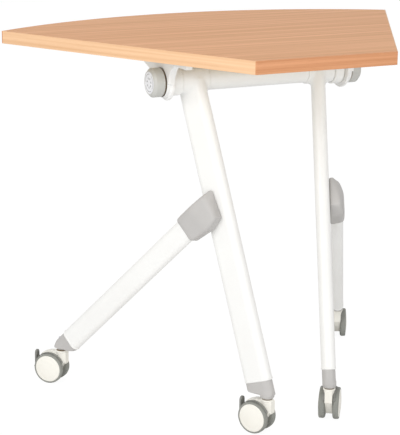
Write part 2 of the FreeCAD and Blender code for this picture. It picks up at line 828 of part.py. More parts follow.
def caster_hood(axle_z):
    """Hood between the wheels, with its neck round the stem and a tongue for the pedal."""
    half = d.wheel_gap / 2 - d.slide_clearance
    top = d.boss_bottom - d.hood_top_gap
    disc = cylinder_x(d.hood_radius, -half, half, d.trail, axle_z)
    back = d.trail + d.hood_back
    keep = new_body("HoodSide")
    keep_outline = [
        (-d.hood_front, top),
        (-d.hood_front, d.hood_front_floor),
        (d.hood_heel, d.hood_floor),
        (back, d.hood_floor),
        (back, top),
    ]
    pad(keep, polygon_sketch(keep, "YZ_Plane", keep_outline), 2 * half, midplane=True)
    front = box(-half, half, -d.hood_front, d.trail, d.hood_front_floor, top - d.neck_height)
    neck = cylinder_z(d.neck_dia / 2, 0, 0, top - d.neck_height, top)
    half_tongue = d.tongue_width / 2
    pivot_y = d.trail + d.pedal_pivot_back
    pivot_z = axle_z + d.pedal_pivot_rise
    lug = cylinder_x(d.pedal_hub_dia / 2, -half_tongue, half_tongue, pivot_y, pivot_z)
    hub = d.pedal_hub_dia / 2
    tongue = box(-half_tongue, half_tongue, d.trail, pivot_y, pivot_z - hub, pivot_z + hub)
    bore = cylinder_z(d.stem_dia / 2 + d.running_clearance, 0, 0, d.stem_bottom - d.hood_top_gap, top)
    axle_bore = cylinder_x(d.axle_dia / 2, -half, half, d.trail, axle_z)
    pin_radius = d.pedal_pin_dia / 2 + d.running_clearance
    pin_bore = cylinder_x(pin_radius, -half_tongue, half_tongue, pivot_y, pivot_z)
    return cut(fuse(common(disc, keep), front, neck, lug, tongue), bore, axle_bore, pin_bore)


# Steps of the wheel's domed face, as shares of its radius
DOME_STEPS = (0.9, 0.7, 0.4, 0)


def caster_wheel(label, side, axle_z):
    """Wheel with a bevelled tread, a domed face and a blind bore for the axle."""
    inner = d.wheel_gap / 2
    outer = inner + d.wheel_width
    radius = d.wheel_dia / 2
    bore = d.axle_dia / 2 + d.running_clearance
    bore_end = d.axle_length / 2 + d.slide_clearance
    face = d.wheel_face_dia / 2
    outline = [
        (inner, bore),
        (inner, radius - d.wheel_edge),
        (inner + d.wheel_edge, radius),
        (outer - d.wheel_edge, radius),
        (outer, radius - d.wheel_edge),
        (outer, face),
    ]
    for share in DOME_STEPS:
        outline.append((outer + d.wheel_dome * (1 - share * share), face * share))
    outline += [(bore_end, 0), (bore_end, bore)]
    body = revolve_x(f"Wheel_{label}_{'a' if side > 0 else 'b'}", [(side * x, r) for x, r in outline])
    return put(body, 0, d.trail, axle_z)


def caster_pedal(axle_z):
    """Brake pedal: an upright paddle with a toe, forked round the hood's tongue."""
    half = d.pedal_width / 2
    pivot_y = d.trail + d.pedal_pivot_back
    pivot_z = axle_z + d.pedal_pivot_rise
    hub = d.pedal_hub_dia / 2
    back = pivot_y + hub + d.pedal_thickness
    front = pivot_y + hub
    top = pivot_z + d.pedal_height
    bottom = pivot_z - d.pedal_drop
    paddle = box(-half, half, front, back, bottom, top - half)
    crown = DOC.addObject("Part::Cylinder", "Crown")
    bind(crown, Radius=half, Height=d.pedal_thickness)
    crown.Placement = FreeCAD.Placement(FreeCAD.Vector(), FreeCAD.Rotation(FreeCAD.Vector(1, 0, 0), -90))
    put(crown, 0, front, top - half)
    toe = box(-half, half, back, back + d.pedal_toe, bottom, bottom + d.pedal_thickness)
    cheeks = cylinder_x(hub, -half, half, pivot_y, pivot_z)
    bridge = box(-half, half, pivot_y, back, pivot_z - hub, pivot_z + hub)
    fork = d.tongue_width / 2 + d.slide_clearance
    room = d.slide_clearance
    mouth_back = front + room
    mouth = box(-fork, fork, pivot_y - hub - room, mouth_back, pivot_z - hub - room, pivot_z + hub + room)
    pin = cylinder_x(d.pedal_pin_dia / 2, -half, half, pivot_y, pivot_z)
    return fuse(cut(fuse(paddle, crown, toe, cheeks, bridge), mouth), pin)


def make_casters():
    """Four casters under the end caps."""
    for end, (x, y) in SWIVELS.items():
        make_caster(f"{end}_left", -x, y, getattr(d, f"caster_turn_{end}_left"))
        make_caster(f"{end}_right", x, y, getattr(d, f"caster_turn_{end}_right"))


def export():
    """Check every object and write each sub-part to its own file."""
    DOC.recompute()
    for obj in DOC.Objects:
        if "Invalid" in obj.State or "Error" in obj.State:
            raise RuntimeError(f"{obj.Name} ({obj.Label}) did not build: {obj.State}")
    os.makedirs("parts", exist_ok=True)
    for obj in NODES:
        shape = obj.Shape
        if shape.isNull() or not shape.isValid() or not shape.Solids:
            raise RuntimeError(f"{obj.Label} has no valid solid")
        shape.exportStep(os.path.join("parts", f"{obj.Label}.step"))
        print(obj.Label, len(shape.Solids), round(shape.Volume), shape.BoundBox)


make_top()
make_brackets()
make_bushes()
make_lock_rings()
make_beam()
make_release()
make_bolts()
make_legs()
make_stems()
make_casters()
export()
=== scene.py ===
"""Folding desk: the looks of a flip-top nesting table on braked casters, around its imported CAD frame.

Metres, in the CAD's frame: X along the beam, +Y toward the curved side, Z up, floor at 0.
"""
import math

import bmesh
import bpy
from mathutils import Matrix, Vector


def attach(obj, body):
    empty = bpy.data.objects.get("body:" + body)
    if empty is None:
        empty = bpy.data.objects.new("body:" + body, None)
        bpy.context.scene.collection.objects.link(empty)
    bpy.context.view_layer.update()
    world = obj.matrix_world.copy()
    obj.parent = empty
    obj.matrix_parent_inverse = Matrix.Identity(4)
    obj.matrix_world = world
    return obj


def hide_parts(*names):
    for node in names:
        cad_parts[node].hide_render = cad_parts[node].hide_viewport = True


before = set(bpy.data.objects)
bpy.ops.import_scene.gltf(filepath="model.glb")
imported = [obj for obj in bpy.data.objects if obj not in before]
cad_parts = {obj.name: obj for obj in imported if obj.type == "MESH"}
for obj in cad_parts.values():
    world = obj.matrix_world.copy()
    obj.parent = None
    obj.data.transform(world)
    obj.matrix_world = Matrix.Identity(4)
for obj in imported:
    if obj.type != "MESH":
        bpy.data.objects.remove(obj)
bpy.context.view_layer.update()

# Sizes of the desk, repeated from its CAD source
MM = 0.001
PANEL_UNDERSIDE = 701 * MM
BEAM_Y = -33.75 * MM
BEAM_Z = 647.5 * MM
BEAM_RADIUS = 21 * MM
COLLAR_RADIUS = 24 * MM
COLLAR_IN = 106 * MM
COLLAR_END = 183 * MM
FLANGE_RADIUS = 27 * MM
FLANGE_IN = 163.5 * MM
HUB_OUT = 198.5 * MM
KNOB_IN = 200.5 * MM
KNOB_OUT = 222.5 * MM
KNOB_RADIUS = 27.5 * MM
KNOB_FACE_RADIUS = 20.5 * MM
SIDE_ANGLE = 30
LEG_PLANE_X = 137 * MM
LEG_ANGLE = math.radians(29)
SPLAY = math.radians(3.65)
MAIN_WIDTH = 58 * MM
MAIN_THICKNESS = 28 * MM
MAIN_REACH = 189.5 * MM
MAIN_END_Z = 99.5 * MM
BRANCH_WIDTH = 46 * MM
BRANCH_THICKNESS = 24 * MM
BRANCH_REACH = 246 * MM
BRANCH_END_Z = 95 * MM
JOINT_Z = 422 * MM
COVER_LENGTH = 76 * MM
COVER_OVER = 18 * MM
COVER_THICKNESS = 29 * MM
COVER_SLOPE = 50 * MM
BRANCH_OUTBOARD = (MAIN_THICKNESS + COVER_THICKNESS) / 2
BOSS_Z = 71 * MM
SWIVELS = {"front": (-210 * MM, 0), "back": (272 * MM, BRANCH_OUTBOARD)}
CASTER_TURN = {"front_left": 30, "back_left": 42, "front_right": -36, "back_right": -29}
HOOD_TOP = 69.5 * MM
NECK_RADIUS = 12 * MM
STEM_RADIUS = 5 * MM
WHEEL_RADIUS = 31 * MM
WHEEL_WIDTH = 12 * MM
WHEEL_GAP = 15 * MM
WHEEL_DOME = 2.5 * MM
WHEEL_FACE_RADIUS = 27.25 * MM
TRAIL = 22 * MM
SIDES = {"left": -1, "right": 1}

# Shaping of the dressed pieces
BAND_EASE = 0.6 * MM
BACKING_DEPTH = 0.5 * MM
BACKING_TONE = (0.80, 0.67, 0.50, 1)
RELIEF_DEPTH = 0.0002
RING_STEPS = 96
WHEEL_STEPS = 72
ROUND_STEPS = 64
FENDER_STEPS = 40
CASTING_VOXEL = 1 * MM
BRACKET_ROUNDS = 8
CAP_ROUNDS = 5
CAP_TOP_ROUNDS = 40
LEG_VOXEL = 1.5 * MM
LEG_ROUNDS = 4
COLLAR_FLOW_ROUNDS = 70
BLEND_DROP = 62.5 * MM
BLEND_RISE = 25 * MM
BLEND_IN = 8 * MM
BLEND_OUT = 4 * MM
LIP_OVER = 1.4 * MM
LIP_HEIGHT = 4 * MM
LIP_BEVEL = 1.6 * MM
FLANGE_BEVEL = 2 * MM
FILLING_OVER = 1 * MM
FILLING_LIFT = 0.5 * MM
COVER_VOXEL = 0.9 * MM
COVER_ROUNDS = 6
COVER_DOME_ROUNDS = 500
COVER_SOFT_FROM = 6 * MM
CAP_SOFT_RISE = 7 * MM
SOFT_BAND = 8 * MM
KNOB_BORE = 8 * MM
KNOB_HEEL = 1 * MM
KNOB_CHAMFER = 5 * MM
KNOB_WELL = 1.2 * MM
KNOB_BEVEL = 0.7 * MM
# Rings of painted shade in the gaps between the hubs and the knobs
KNOB_SHADE_RING_GAP = 0.2 * MM
KNOB_SHADE_RING_BORE = 10 * MM
KNOB_SHADE_RING_INSET = 0.6 * MM
KNOB_SHADE_RING_BEVEL = 0.3 * MM
WHEEL_BORE = 3.2 * MM
WHEEL_INNER_FACE = 0.1 * MM
GROOVE_DEPTH = 0.7 * MM
GROOVE_WIDTH = 0.4 * MM
DISC_RIM_RISE = 0.2 * MM
DISC_RIM_IN = 0.6 * MM
FENDER_GAP = 0.4 * MM
FENDER_WIDTH = 4.5 * MM
FENDER_THICKNESS = 1.2 * MM
FENDER_BEVEL = 0.4 * MM
FENDER_SPAN = math.radians(130)
FENDER_TURN = math.radians(64)
HOOD_LIP_Y = -12 * MM
HOOD_LIP_Z = 51 * MM
HOOD_LIP_DROP = 8 * MM
HOOD_SIDE_GAP = 1 * MM
HOOD_VOXEL = 0.8 * MM
HOOD_ROUNDS = 6
NECK_LOW = 51 * MM
PEDAL_TOE_Y = 58.5 * MM
PEDAL_TOE_Z = 26 * MM
PEDAL_TOE_SHARES = (0.4, 1, 0.6)
PEDAL_VOXEL = 0.5 * MM
PEDAL_ROUNDS = 5
# Rings of painted shade in the gaps between the caster bosses and the hoods
SHADE_RING_GAP = 0.1 * MM
SHADE_RING_CLEARANCE = 0.3 * MM
SHADE_RING_TOP_RADIUS = 9 * MM
SHADE_RING_LOW_RADIUS = 10 * MM

# Wheel tread from each side: millimetres in from the side and below the running surface
TREAD_INNER = ((0, 5), (0.4, 2.4), (1.6, 0.7), (3.4, 0))
TREAD_OUTER = ((2.8, 0), (1.2, 0.4), (0.3, 1.2), (0, 2))

# Wheel disc from rim to middle: share of its radius and millimetres of dip, for its faint ring
DISC_RINGS = ((0.9, 0), (0.78, 0), (0.75, 0.25), (0.72, 0), (0.55, 0), (0.36, 0), (0.18, 0), (0, 0))

# Knob print: middle radius, half width, count and filled share of each ring of dashes
MARK_ARCS = (16.5 * MM, 0.7 * MM, 3, 0.8)
MARK_SPECKS = (8.5 * MM, 2 * MM, 7, 0.45)
MARK_STRENGTH = 0.85
MARK_TONE = (0.36, 0.37, 0.38, 1)

# Studio: the fitted camera, the floor and the light
CAMERA_PLACE = Vector((-1.3608, -2.6171, 1.1535))
CAMERA_TARGET = Vector((-0.1491, -0.1054, 0.3989))
CAMERA_ROLL = math.radians(0.62)
SENSOR_WIDTH = 36
LENS = 127.4
WORLD_LIGHT = 0.62
FLOOR_SIZE = 12
FLOOR_TONE = (0.9, 0.9, 0.9, 1)
FLOOR_GLOW = 1.07
FLOOR_GLOW_SHARE = 0.88
SOFT_BOX = 2.0
KEY_POWER = 44
FRONT_POWER = 24


# Modelling helpers

def deselect():
    """Leave nothing selected, in object mode."""
    if bpy.context.object and bpy.context.object.mode != "OBJECT":
        bpy.ops.object.mode_set(mode="OBJECT")
    bpy.ops.object.select_all(action="DESELECT")


def activate(obj):
    """Make one object the only selected and active one."""
    deselect()
    obj.select_set(True)
    bpy.context.view_layer.objects.active = obj


def named(name):
    """The active object, with its name and its mesh's name set."""
    obj = bpy.context.object
    obj.name = name
    obj.data.name = name
    return obj


def edit(obj, kind="FACE"):
    """Edit one object with nothing of its mesh selected."""
    activate(obj)
    bpy.ops.object.mode_set(mode="EDIT")
    bpy.ops.mesh.select_mode(type=kind)
    bpy.ops.mesh.select_all(action="DESELECT")


def leave_edit():
    """Back to object mode."""
    bpy.ops.object.mode_set(mode="OBJECT")


def select_where(obj, kind, test):
    """In edit mode, select the vertices, edges or faces that pass a test."""
    mesh = bmesh.from_edit_mesh(obj.data)
    groups = {"VERT": mesh.verts, "EDGE": mesh.edges, "FACE": mesh.faces}
    bpy.ops.mesh.select_mode(type=kind)
    bpy.ops.mesh.select_all(action="DESELECT")
    for element in groups[kind]:
        element.select_set(bool(test(element)))
    mesh.select_flush_mode()
    bmesh.update_edit_mesh(obj.data)


def modify(obj, kind, **settings):
    """Add a modifier to a piece and apply it."""
    activate(obj)
    modifier = obj.modifiers.new(kind.title(), kind)
    for key, value in settings.items():
        setattr(modifier, key, value)
    bpy.ops.object.modifier_apply(modifier=modifier.name)


def mend(obj):
    """Merge doubled points and turn every face outward."""
    edit(obj, "VERT")
    bpy.ops.mesh.select_all(action="SELECT")
    bpy.ops.mesh.remove_doubles(threshold=1e-6)
    bpy.ops.mesh.normals_make_consistent(inside=False)
    leave_edit()


def settle(obj):
    """Move a piece's place into its mesh."""
    activate(obj)
    bpy.ops.object.transform_apply(location=True, rotation=True, scale=True)


def smooth_shade(obj, degrees=35):
    """Shade smooth across edges flatter than an angle."""
    activate(obj)
    bpy.ops.object.shade_smooth_by_angle(angle=math.radians(degrees))


def copy_of(obj, name):
    """A copy of a piece with its own mesh."""
    twin = obj.copy()
    twin.data = obj.data.copy()
    twin.name = name
    twin.data.name = name
    bpy.context.collection.objects.link(twin)
    return twin


def mirrored(obj, name):
    """The left-hand copy of a right-hand piece."""
    twin = copy_of(obj, name)
    twin.scale.x = -1
    settle(twin)
    mend(twin)
    return twin


def solid_copy(node, name):
    """A merged copy of a CAD node, free of the frame, to be worked on."""
    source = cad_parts[node]
    mesh = source.data.copy()
    mesh.materials.clear()
    obj = bpy.data.objects.new(name, mesh)
    bpy.context.collection.objects.link(obj)
    edit(obj, "VERT")
    bpy.ops.mesh.select_all(action="SELECT")
    bpy.ops.mesh.remove_doubles(threshold=1e-6)
    leave_edit()
    return obj


def moulded(obj, voxel, rounds):
    """Soften every edge of a form, as a casting or a moulding has."""
    modify(obj, "REMESH", mode="VOXEL", voxel_size=voxel)
    modify(obj, "SMOOTH", factor=0.5, iterations=rounds)
    activate(obj)
    bpy.ops.object.shade_smooth()
    return obj


def soften(obj, rounds, weight):
    """Smooth a form more where a weight of its points says so."""
    group = obj.vertex_groups.new(name="soft")
    for vertex in obj.data.vertices:
        group.add([vertex.index], max(0, min(1, weight(vertex.co))), "REPLACE")
    modify(obj, "SMOOTH", factor=0.5, iterations=rounds, vertex_group="soft")


def joined(obj, *others):
    """Join forms into one object."""
    activate(obj)
    for other in others:
        other.select_set(True)
    bpy.ops.object.join()
    return obj


def round_edges(obj, width, segments, degrees=40):
    """Round the edges of a piece that are sharper than an angle."""
    angle = math.radians(degrees)
    modify(obj, "BEVEL", width=width, segments=segments, limit_method="ANGLE", angle_limit=angle)


def ring_profile(x0, x1, inner, outer):
    """The closed profile of a plain ring, to be turned about X."""
    return [(x0, inner), (x0, outer), (x1, outer), (x1, inner), (x0, inner)]


def eased(node, name, width, segments=3):
    """A CAD node's form with its sharp edges rounded."""
    obj = solid_copy(node, name)
    edit(obj)
    bpy.ops.mesh.select_all(action="SELECT")
    bpy.ops.mesh.dissolve_limited(angle_limit=math.radians(1))
    leave_edit()
    round_edges(obj, width, segments)
    smooth_shade(obj)
    return obj


def turned(name, profile, steps, angle=2 * math.pi):
    """A lathe-turned form: (x, radius) points drawn one after the other and spun about X."""
    deselect()
    bpy.ops.mesh.primitive_plane_add(size=MM)
    obj = named(name)
    edit(obj, "VERT")
    bpy.ops.mesh.select_all(action="SELECT")
    bpy.ops.mesh.merge(type="CENTER")
    x, radius = profile[0]
    bpy.ops.transform.translate(value=(x, 0, radius))
    for (x0, r0), (x1, r1) in zip(profile, profile[1:]):
        bpy.ops.mesh.extrude_region_move(TRANSFORM_OT_translate={"value": (x1 - x0, 0, r1 - r0)})
    bpy.ops.mesh.select_all(action="SELECT")
    bpy.ops.mesh.spin(steps=steps, angle=angle, center=(0, 0, 0), axis=(1, 0, 0))
    bpy.ops.mesh.select_all(action="SELECT")
    bpy.ops.mesh.remove_doubles(threshold=1e-6)
    bpy.ops.mesh.fill_holes(sides=0)
    leave_edit()
    mend(obj)
    return obj


def placed(obj, matrix):
    """Put a piece where a matrix says, with its place in its mesh."""
    obj.matrix_world = matrix
    bpy.context.view_layer.update()
    settle(obj)
    return obj


def dress(obj, body, slot, materials, *nodes):
    """Hand a finished piece to the frame: its finish, the body it rides on and the nodes it stands for."""
    for material in materials:
        obj.data.materials.append(material)
    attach(obj, body)
    if nodes:
        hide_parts(*nodes)


def dress_pair(obj, node, word, body, slot, material):
    """Dress a right-hand piece and its left-hand mirror."""
    smooth = obj.data.polygons[0].use_smooth and "sharp_edge" not in obj.data.attributes
    twin = mirrored(obj, f"{node}_left_{word}")
    if smooth:
        activate(twin)
        bpy.ops.object.shade_smooth()
    for side, piece in (("right", obj), ("left", twin)):
        dress(piece, body, slot, [material], f"{node}_{side}")


def finish_node(node, material):
    """Give a CAD node that keeps its own mesh a better material."""
    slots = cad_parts[node].data.materials
    slots.clear()
    slots.append(material)


def leg_place(u, outboard, height, tilt):
    """A place on the splayed right-hand leg: along it, outboard of it, at a height, tilted in its plane."""
    drop = (BEAM_Z - height + outboard * math.sin(SPLAY)) / math.cos(SPLAY)
    root = Matrix.Translation((LEG_PLANE_X, BEAM_Y, BEAM_Z))
    heading = Matrix.Rotation(math.pi / 2 - LEG_ANGLE, 4, "Z") @ Matrix.Rotation(-SPLAY, 4, "X")
    return root @ heading @ Matrix.Translation((u, -outboard, -drop)) @ Matrix.Rotation(tilt, 4, "Y")


def main_leg_axis():
    """The main leg's length and its place, with Z up along it from its lower end."""
    rise = (BEAM_Z - MAIN_END_Z) / math.cos(SPLAY)
    tilt = math.atan2(MAIN_REACH, rise)
    return math.hypot(MAIN_REACH, rise), leg_place(-MAIN_REACH, 0, MAIN_END_Z, tilt)


def branch_axis():
    """The branch's length up to its joint and its place, with Z up along it from its lower end."""
    joint_u = -MAIN_REACH * (BEAM_Z - JOINT_Z) / (BEAM_Z - MAIN_END_Z)
    run = BRANCH_REACH - joint_u
    fall = (JOINT_Z - BRANCH_END_Z) / math.cos(SPLAY)
    tilt = -math.atan2(run, fall)
    return math.hypot(run, fall), leg_place(BRANCH_REACH, BRANCH_OUTBOARD, BRANCH_END_Z, tilt)


# Materials

def new_group(name, inputs, outputs):
    """An empty node group with its named sockets."""
    group = bpy.data.node_groups.new(name, "ShaderNodeTree")
    for label, kind, default in inputs:
        socket = group.interface.new_socket(label, in_out="INPUT", socket_type=kind)
        socket.default_value = default
    for label, kind in outputs:
        group.interface.new_socket(label, in_out="OUTPUT", socket_type=kind)
    return group, group.nodes.new("NodeGroupInput"), group.nodes.new("NodeGroupOutput")


def noise(tree, scale, detail, roughness=0.5):
    """A noise texture."""
    texture = tree.nodes.new("ShaderNodeTexNoise")
    texture.inputs["Scale"].default_value = scale
    texture.inputs["Detail"].default_value = detail
    texture.inputs["Roughness"].default_value = roughness
    return texture


def calculate(tree, operation, first, second):
    """A math node of two values, each a socket or a number."""
    maths = tree.nodes.new("ShaderNodeMath")
    maths.operation = operation
    for socket, value in zip(maths.inputs, (first, second)):
        if isinstance(value, (int, float)):
            socket.default_value = value
        else:
            tree.links.new(value, socket)
    return maths.outputs["Value"]


def ranged(tree, value, low, high, out_low, out_high):
    """A value moved from one range to another."""
    remap = tree.nodes.new("ShaderNodeMapRange")
    tree.links.new(value, remap.inputs["Value"])
    for label, number in (("From Min", low), ("From Max", high), ("To Min", out_low), ("To Max", out_high)):
        remap.inputs[label].default_value = number
    return remap.outputs["Result"]


def mixed(tree, factor, first, second):
    """A mix of two colours, each a socket or a colour."""
    mix = tree.nodes.new("ShaderNodeMix")
    mix.data_type = "RGBA"
    if isinstance(factor, (int, float)):
        mix.inputs["Factor"].default_value = factor
    else:
        tree.links.new(factor, mix.inputs["Factor"])
    for label, value in (("A", first), ("B", second)):
        socket = [s for s in mix.inputs if s.name == label and s.type == "RGBA"][0]
        if isinstance(value, tuple):
            socket.default_value = value
        else:
            tree.links.new(value, socket)
    return [s for s in mix.outputs if s.type == "RGBA"][0]


def make_moulded_skin():
    """Fine skin of a moulding or a coat: cloudy tone, uneven gloss and a small relief."""
    inputs = [
        ("Vector", "NodeSocketVector", (0, 0, 0)),
        ("Tone", "NodeSocketColor", (0.8, 0.8, 0.8, 1)),
        ("Shade", "NodeSocketColor", (0.7, 0.7, 0.7, 1)),
        ("Grain", "NodeSocketFloat", 900),
        ("Gloss Low", "NodeSocketFloat", 0.35),
        ("Gloss High", "NodeSocketFloat", 0.45),
    ]
    outputs = [("Color", "NodeSocketColor"), ("Roughness", "NodeSocketFloat"), ("Height", "NodeSocketFloat")]
    tree, given, result = new_group("moulded_skin", inputs, outputs)
    cloud = noise(tree, 14, 3)
    tree.links.new(given.outputs["Vector"], cloud.inputs["Vector"])
    patch = ranged(tree, cloud.outputs["Fac"], 0.35, 0.7, 0, 1)
    grain = noise(tree, 900, 2)
    tree.links.new(given.outputs["Vector"], grain.inputs["Vector"])
    tree.links.new(given.outputs["Grain"], grain.inputs["Scale"])
    colour = mixed(tree, patch, given.outputs["Tone"], given.outputs["Shade"])
    tree.links.new(colour, result.inputs["Color"])
    gloss = tree.nodes.new("ShaderNodeMapRange")
    tree.links.new(grain.outputs["Fac"], gloss.inputs["Value"])
    tree.links.new(given.outputs["Gloss Low"], gloss.inputs["To Min"])
    tree.links.new(given.outputs["Gloss High"], gloss.inputs["To Max"])
    tree.links.new(gloss.outputs["Result"], result.inputs["Roughness"])
    tree.links.new(grain.outputs["Fac"], result.inputs["Height"])
    return tree


def make_beech_grain():
    """Beech: long streaks along X, fine pores and short flecks."""
    inputs = [
        ("Vector", "NodeSocketVector", (0, 0, 0)),
        ("Light", "NodeSocketColor", (0.7, 0.45, 0.25, 1)),
        ("Dark", "NodeSocketColor", (0.5, 0.28, 0.14, 1)),
        ("Contrast", "NodeSocketFloat", 1),
    ]
    outputs = [("Color", "NodeSocketColor"), ("Roughness", "NodeSocketFloat"), ("Height", "NodeSocketFloat")]
    tree, given, result = new_group("beech_grain", inputs, outputs)

    def stretched(along, across, detail, roughness):
        """Noise drawn out along X."""
        mapping = tree.nodes.new("ShaderNodeMapping")
        mapping.inputs["Scale"].default_value = (along, across, across)
        tree.links.new(given.outputs["Vector"], mapping.inputs["Vector"])
        texture = noise(tree, 1, detail, roughness)
        tree.links.new(mapping.outputs["Vector"], texture.inputs["Vector"])
        return texture.outputs["Fac"]

    streak = ranged(tree, stretched(1.6, 85, 4, 0.6), 0.3, 0.72, 0, 1)
    pore = ranged(tree, stretched(28, 900, 2, 0.5), 0.56, 0.75, 0, 1)
    fleck = ranged(tree, stretched(70, 420, 1, 0.5), 0.6, 0.72, 0, 1)
    tone = calculate(tree, "MULTIPLY", streak, given.outputs["Contrast"])
    base = mixed(tree, tone, given.outputs["Light"], given.outputs["Dark"])
    flecked = mixed(tree, calculate(tree, "MULTIPLY", fleck, 0.25), base, given.outputs["Dark"])
    colour = mixed(tree, calculate(tree, "MULTIPLY", pore, 0.3), flecked, given.outputs["Dark"])
    tree.links.new(colour, result.inputs["Color"])
    tree.links.new(ranged(tree, streak, 0, 1, 0.38, 0.5), result.inputs["Roughness"])
    tree.links.new(pore, result.inputs["Height"])
    return tree


MOULDED_SKIN = make_moulded_skin()
BEECH_GRAIN = make_beech_grain()


def new_material(name):
    """A material with its shader and Object coordinates."""
    material = bpy.data.materials.new(name)
    material.use_nodes = True
    tree = material.node_tree
    shader = tree.nodes["Principled BSDF"]
    coordinates = tree.nodes.new("ShaderNodeTexCoord")
    return material, tree, shader, coordinates.outputs["Object"]


def relief(tree, shader, height, strength):
    """A small bump on a shader."""
    bump = tree.nodes.new("ShaderNodeBump")
    bump.inputs["Strength"].default_value = strength
    bump.inputs["Distance"].default_value = RELIEF_DEPTH
    tree.links.new(height, bump.inputs["Height"])
    tree.links.new(bump.outputs["Normal"], shader.inputs["Normal"])


def skin_material(name, tone, shade, gloss, grain=900, strength=0.1, metallic=0):
    """A coat, plastic or plain metal with the shared moulded skin."""
    material, tree, shader, place = new_material(name)
    skin = tree.nodes.new("ShaderNodeGroup")
    skin.node_tree = MOULDED_SKIN
    tree.links.new(place, skin.inputs["Vector"])
    skin.inputs["Tone"].default_value = (*tone, 1)
    skin.inputs["Shade"].default_value = (*shade, 1)
    skin.inputs["Grain"].default_value = grain
    skin.inputs["Gloss Low"].default_value = gloss[0]
    skin.inputs["Gloss High"].default_value = gloss[1]
    tree.links.new(skin.outputs["Color"], shader.inputs["Base Color"])
    tree.links.new(skin.outputs["Roughness"], shader.inputs["Roughness"])
    shader.inputs["Metallic"].default_value = metallic
    relief(tree, shader, skin.outputs["Height"], strength)
    return material


def beech_material(name, light, dark, contrast, fine=1, turn=0):
    """Beech laminate or its edge band, with the grain turned along the piece and finer across it."""
    material, tree, shader, place = new_material(name)
    mapping = tree.nodes.new("ShaderNodeMapping")
    mapping.inputs["Rotation"].default_value = (0, 0, math.radians(turn))
    mapping.inputs["Scale"].default_value = (1, 1, fine)
    tree.links.new(place, mapping.inputs["Vector"])
    grain = tree.nodes.new("ShaderNodeGroup")
    grain.node_tree = BEECH_GRAIN
    tree.links.new(mapping.outputs["Vector"], grain.inputs["Vector"])
    grain.inputs["Light"].default_value = (*light, 1)
    grain.inputs["Dark"].default_value = (*dark, 1)
    grain.inputs["Contrast"].default_value = contrast
    tree.links.new(grain.outputs["Color"], shader.inputs["Base Color"])
    tree.links.new(grain.outputs["Roughness"], shader.inputs["Roughness"])
    shader.inputs["Specular IOR Level"].default_value = 0.15
    relief(tree, shader, grain.outputs["Height"], 0.08)
    return material


def print_marks(material):
    """Print a ring of three arcs and some plain specks on the knob's disc."""
    tree = material.node_tree
    shader = tree.nodes["Principled BSDF"]
    colour = shader.inputs["Base Color"].links[0].from_socket
    place = tree.nodes["Texture Coordinate"].outputs["Object"]
    centred = tree.nodes.new("ShaderNodeMapping")
    centred.inputs["Location"].default_value = (0, -BEAM_Y, -BEAM_Z)
    tree.links.new(place, centred.inputs["Vector"])
    parts = tree.nodes.new("ShaderNodeSeparateXYZ")
    tree.links.new(centred.outputs["Vector"], parts.inputs["Vector"])
    y = parts.outputs["Y"]
    z = parts.outputs["Z"]
    squares = calculate(tree, "ADD", calculate(tree, "MULTIPLY", y, y), calculate(tree, "MULTIPLY", z, z))
    radius = calculate(tree, "POWER", squares, 0.5)
    turns = calculate(tree, "DIVIDE", calculate(tree, "ARCTAN2", z, y), 2 * math.pi)

    def dashes(middle, half, count, share):
        """A ring of dashes round the disc's middle."""
        off = calculate(tree, "ABSOLUTE", calculate(tree, "SUBTRACT", radius, middle), 0)
        ring = calculate(tree, "LESS_THAN", off, half)
        phase = calculate(tree, "FRACT", calculate(tree, "MULTIPLY", turns, count), 0)
        return calculate(tree, "MULTIPLY", ring, calculate(tree, "LESS_THAN", phase, share))

    marks = calculate(tree, "MAXIMUM", dashes(*MARK_ARCS), dashes(*MARK_SPECKS))
    printed = mixed(tree, calculate(tree, "MULTIPLY", marks, MARK_STRENGTH), colour, MARK_TONE)
    tree.links.new(printed, shader.inputs["Base Color"])


def lay_backing(material):
    """Lay a pale backing sheet on the panel's underside."""
    tree = material.node_tree
    shader = tree.nodes["Principled BSDF"]
    colour = shader.inputs["Base Color"].links[0].from_socket
    parts = tree.nodes.new("ShaderNodeSeparateXYZ")
    tree.links.new(tree.nodes["Texture Coordinate"].outputs["Object"], parts.inputs["Vector"])
    below = calculate(tree, "LESS_THAN", parts.outputs["Z"], PANEL_UNDERSIDE + BACKING_DEPTH)
    tree.links.new(mixed(tree, below, colour, BACKING_TONE), shader.inputs["Base Color"])


BEECH_TOP = beech_material("beech_top", (0.91, 0.455, 0.20), (0.68, 0.325, 0.14), 1.0)
lay_backing(BEECH_TOP)
BAND_TONES = ((0.80, 0.40, 0.215), (0.56, 0.24, 0.105), 1.0, 2)
# The side bands' tones are lighter than the other bands'. Part of that is a paler tint, and part is painted
# light for the left edge, which faces the key lamp.
SIDE_TONES_WITH_PAINTED_LIGHT = ((0.93, 0.62, 0.38), (0.765, 0.46, 0.256), 1.0, 2)
BEECH_BANDS = {
    "edge_band_arc": beech_material("beech_band_arc", *BAND_TONES),
    "edge_band_short": beech_material("beech_band_short", *BAND_TONES),
    "edge_band_left": beech_material("beech_band_left", *SIDE_TONES_WITH_PAINTED_LIGHT, 90 - SIDE_ANGLE),
    "edge_band_right": beech_material("beech_band_right", *SIDE_TONES_WITH_PAINTED_LIGHT, SIDE_ANGLE - 90),
}
WHITE_COAT = skin_material(
    "white_coat", (0.92, 0.92, 0.90), (0.90, 0.895, 0.875), (0.32, 0.42), grain=700,
)
WHITE_CASTING = skin_material(
    "white_casting", (0.91, 0.91, 0.90), (0.89, 0.885, 0.87), (0.36, 0.48), grain=500,
)
GREY_PLASTIC = skin_material(
    "grey_plastic", (0.53, 0.515, 0.50), (0.49, 0.478, 0.465), (0.42, 0.56), grain=1400, strength=0.2,
)
KNOB_PLASTIC = skin_material(
    "knob_plastic", (0.57, 0.57, 0.54), (0.53, 0.53, 0.50), (0.36, 0.48), grain=1400, strength=0.15,
)
